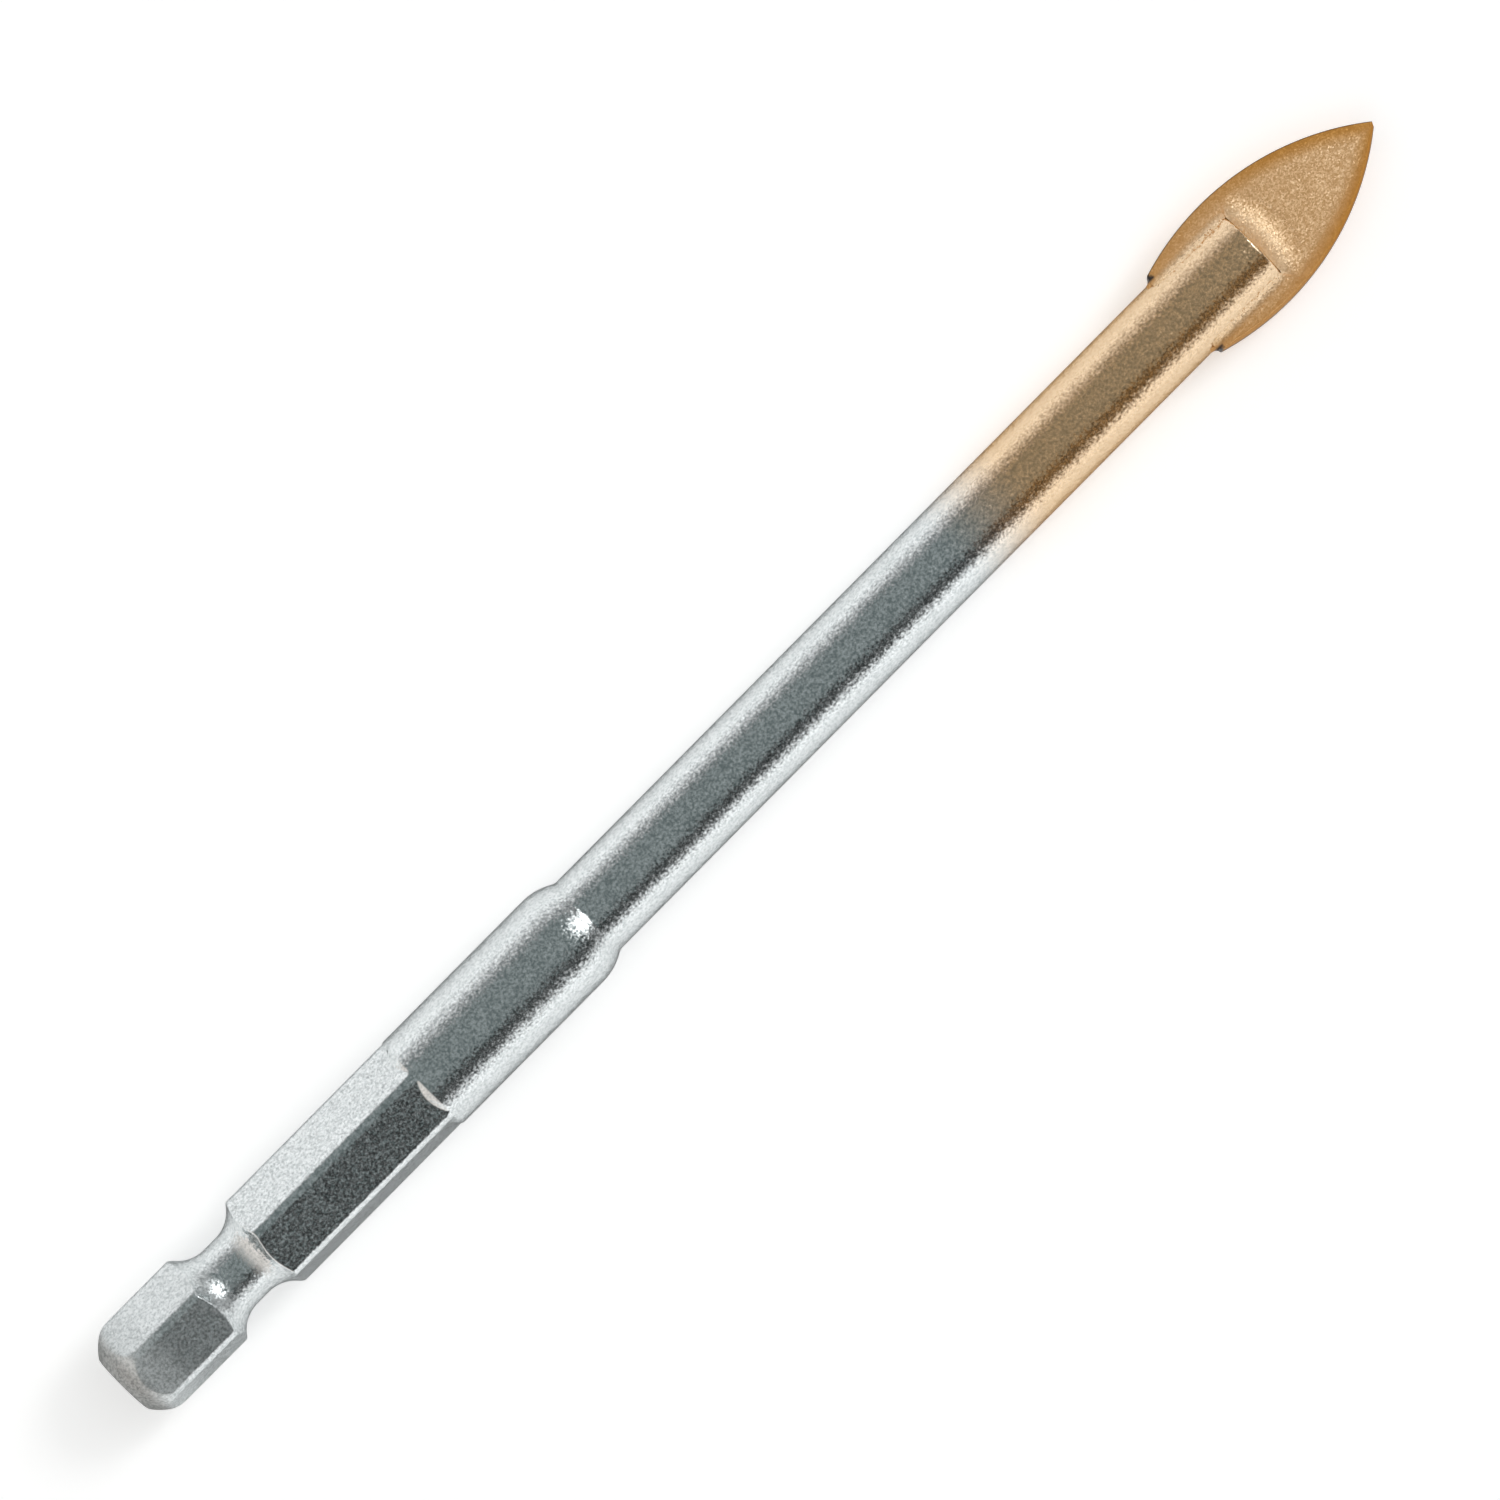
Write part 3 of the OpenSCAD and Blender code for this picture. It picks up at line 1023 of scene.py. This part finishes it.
@dataclass
class Studio:
    """The pale floor, the soft light of a white studio and the camera that looks straight down.

    Sizes are in millimetres. A lamp is given by its diameter and its power in watts, and the dome by the
    light at angles about the bit's axis, in degrees from straight above towards the right.
    """

    shank: SteelShank
    px_per_mm: float = 16.32
    axis_angle: float = 45.26
    view_x: float = 54.62
    view_y: float = 0.11
    lens: float = 300.0
    sensor: float = 36.0
    floor_size: float = 4000.0
    paper: float = 0.88
    paper_glow: float = 0.35
    lamps: tuple[Point, ...] = ((450.0, 4.5), (900.0, 2.6), (1500.0, 3.4))
    fill: Point = (2000.0, 9.0)
    lamp_away: float = 1600.0
    lamp_tilt: float = 46.0
    dome: tuple[Point, ...] = (
        (-180, 0.9), (-95, 1.25), (-84, 1.02), (-74, 0.75), (-64, 0.55), (-52, 0.27), (-42, 0.16),
        (-25, 0.16), (25, 0.16), (31, 0.1), (36, 0.03), (41, 0.005), (51, 0.01), (60, 0.22), (67, 0.55),
        (76, 1.1), (84, 1.2), (95, 1.15), (180, 0.9))
    overhead: Colour = (0.16, 0.189, 0.189, 1.0)
    behind: Colour = (0.85, 0.78, 0.73, 1.0)
    behind_x: Point = (-0.85, -0.35)
    ahead: Colour = (0.15, 0.15, 0.15, 1.0)
    ahead_x: Point = (0.45, 0.9)

    def build(self) -> None:
        """Sets up the floor, the light and the camera."""
        self.floor()
        self.world()
        self.light()
        self.camera()
        bpy.context.scene.view_settings.view_transform = "Standard"

    def floor(self) -> None:
        """Lays the floor so that it touches the front of the collar and the end of the shaft."""
        front, end = self.shank.collar_front, self.shank.length
        low_front, low_end = -self.shank.collar_d / 2, -self.shank.shaft_d / 2
        slope = math.atan2(low_end - low_front, end - front)
        bpy.ops.object.select_all(action="DESELECT")
        bpy.ops.mesh.primitive_plane_add(size=self.floor_size * MM)
        floor = bpy.context.active_object
        floor.name = "floor"
        floor.rotation_euler.y = -slope
        floor.location = Vector((front, 0, low_front)) * MM
        # Matte white paper: it scatters evenly, so the eye sees plain white and the bit's soft shadow.
        material, tree, _ = new_finish("white_paper")
        glow = maths(tree, "MULTIPLY", seen_ray(tree), self.paper_glow)
        paper = add_node(tree, "ShaderNodeBsdfDiffuse", Color=(self.paper, self.paper, self.paper, 1.0))
        white = add_node(tree, "ShaderNodeEmission", Strength=glow)
        both = add_node(tree, "ShaderNodeAddShader", i0=paper.outputs[0], i1=white.outputs[0])
        add_node(tree, "ShaderNodeOutputMaterial", Surface=both.outputs[0])
        floor.data.materials.append(material)

    def world(self) -> None:
        """Makes the studio's dome: bright to both sides, grey overhead, with a dark strip on the right."""
        world = bpy.data.worlds.new("studio")
        bpy.context.scene.world = world
        world.use_nodes = True
        tree = world.node_tree
        tree.nodes.clear()
        place = add_node(tree, "ShaderNodeTexCoord").outputs["Generated"]
        axes = add_node(tree, "ShaderNodeSeparateXYZ", i0=place).outputs
        across = maths(tree, "MULTIPLY", axes["Y"], -1.0)
        turn = follow(tree, maths(tree, "ARCTAN2", across, axes["Z"]), (-math.pi, math.pi))
        ramp = add_node(tree, "ShaderNodeValToRGB", i0=turn)
        set_stops(ramp, [((degrees + 180) / 360, self.shade(light)) for degrees, light in self.dome])
        back = follow(tree, axes["X"], self.behind_x, (1.0, 0.0))
        rear = mix_colours(tree, back, ramp.outputs[0], self.behind)
        nose = follow(tree, axes["X"], self.ahead_x)
        dome = mix_colours(tree, nose, rear, self.ahead)
        light = add_node(tree, "ShaderNodeBackground", Color=dome, Strength=1.0)
        add_node(tree, "ShaderNodeOutputWorld", Surface=light.outputs[0])

    def shade(self, light: float) -> Colour:
        """Colour of the dome at a level of light: the cool grey overhead, and white where it is bright."""
        cool = self.overhead
        if light > cool[1]:
            return (light, light, light, 1.0)
        share = light / cool[0]
        return (cool[0] * share, cool[1] * share, cool[2] * share, 1.0)

    def hang(self, size: float, watts: float, tilt: float) -> bpy.types.Object:
        """Hangs one round lamp that shines on the middle of the bit.

        Args:
            size: The lamp's diameter.
            watts: Its power, in watts.
            tilt: Its angle from straight above towards the point, in degrees.

        Returns:
            The lamp's object.
        """
        lamp = bpy.data.lights.new("soft_lamp", "AREA")
        lamp.energy = watts
        lamp.shape = "DISK"
        lamp.size = size * MM
        holder = bpy.data.objects.new("soft_lamp", lamp)
        bpy.context.scene.collection.objects.link(holder)
        aim = Vector((self.view_x, 0, 0)) * MM
        turn = math.radians(tilt)
        holder.location = aim + Vector((math.sin(turn), 0, math.cos(turn))) * self.lamp_away * MM
        holder.rotation_euler = (aim - holder.location).to_track_quat("-Z", "Y").to_euler()
        return holder

    def light(self) -> None:
        """Hangs a lamp beyond the point, made of discs so that it fades to its rim, and a fill overhead."""
        for size, watts in self.lamps:
            self.hang(size, watts, self.lamp_tilt)
        self.hang(*self.fill, 0.0).visible_glossy = False

    def camera(self) -> None:
        """Sets a long lens straight above the bit, turned so that the axis climbs to the upper right."""
        camera = bpy.data.cameras.new("camera")
        camera.lens = self.lens
        camera.sensor_width = self.sensor
        frame_mm = IMAGE_PX / self.px_per_mm
        height = frame_mm * self.lens / self.sensor
        holder = bpy.data.objects.new("camera", camera)
        bpy.context.scene.collection.objects.link(holder)
        holder.location = Vector((self.view_x, self.view_y, height)) * MM
        holder.rotation_euler.z = -math.radians(self.axis_angle)
        camera.clip_end = 10.0
        bpy.context.scene.camera = holder


def dress(piece: bpy.types.Object, material: bpy.types.Material, node: str) -> None:
    """Gives a finished piece its material and its place in the model.

    Args:
        piece: The piece.
        material: Its finish.
        node: The solid that it stands for.
    """
    piece.data.materials.clear()
    piece.data.materials.append(material)
    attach(piece, BODY)
    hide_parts(node)
    LOG.info("%s: %d faces", piece.name, len(piece.data.polygons))


def main() -> None:
    """Builds the studio and the bit, and reports each piece."""
    logging.basicConfig(level=logging.INFO, format="%(name)s: %(message)s")
    shank = SteelShank()
    tip = CarbideTip()
    Studio(shank).build()
    dress(shank.build(), PlatedSteel().material(), "steel_shank")
    dress(tip.build(), BronzeCoat("bronze_on_carbide", tip).material(), "carbide_tip")
    braze = BrazeJoint(shank, tip).build()
    finish = BronzeCoat("bronze_on_braze", tip, roughness=0.46, scatter=0.34, thin_share=0.2,
                        prong_x=shank.length)
    dress(braze, finish.material(), "braze_joint")


if __name__ == "__main__":
    main()
